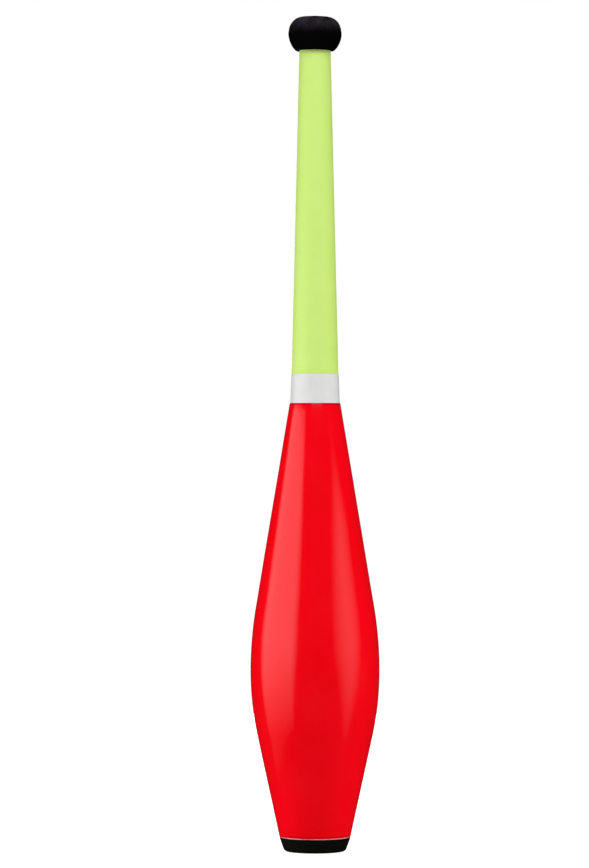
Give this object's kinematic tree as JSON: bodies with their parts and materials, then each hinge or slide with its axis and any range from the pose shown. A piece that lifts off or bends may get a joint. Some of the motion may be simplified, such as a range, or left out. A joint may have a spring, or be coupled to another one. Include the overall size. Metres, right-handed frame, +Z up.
{
  "type": "juggling club",
  "caption": "Juggling club with a hollow glossy body, tapered tubular grip, foam knob and foam foot on a wooden core.",
  "frame": {"origin": "centre of the foot's flat underside, which the club stands on", "axes": "+Z up the club's axis, from the foot to the knob; the club is round, so +X points at one of the staples"},
  "size_m": [0.0804, 0.0804, 0.52],
  "materials": {
    "beech_wood": "satin",
    "plain_wood": "matte",
    "natural_plastic": "matte",
    "red_plastic": "gloss",
    "white_foam": "matte",
    "lime_plastic": "satin",
    "white_tape": "satin",
    "foot_rubber": "matte",
    "knob_foam": "matte",
    "plated_steel": "satin"
  },
  "bodies": {
    "root": {"core_dowel": "beech_wood", "neck_bush": "plain_wood", "tail_bush": "natural_plastic", "body_shell": "red_plastic", "grip_foam": "white_foam", "handle_sleeve": "lime_plastic", "neck_staples": "plated_steel", "neck_tape": "white_tape", "foot": "foot_rubber", "foot_washer": "plated_steel", "foot_screw": "plated_steel", "knob": "knob_foam", "knob_washer": "plated_steel", "knob_screw": "plated_steel"}
  },
  "joints": []
}
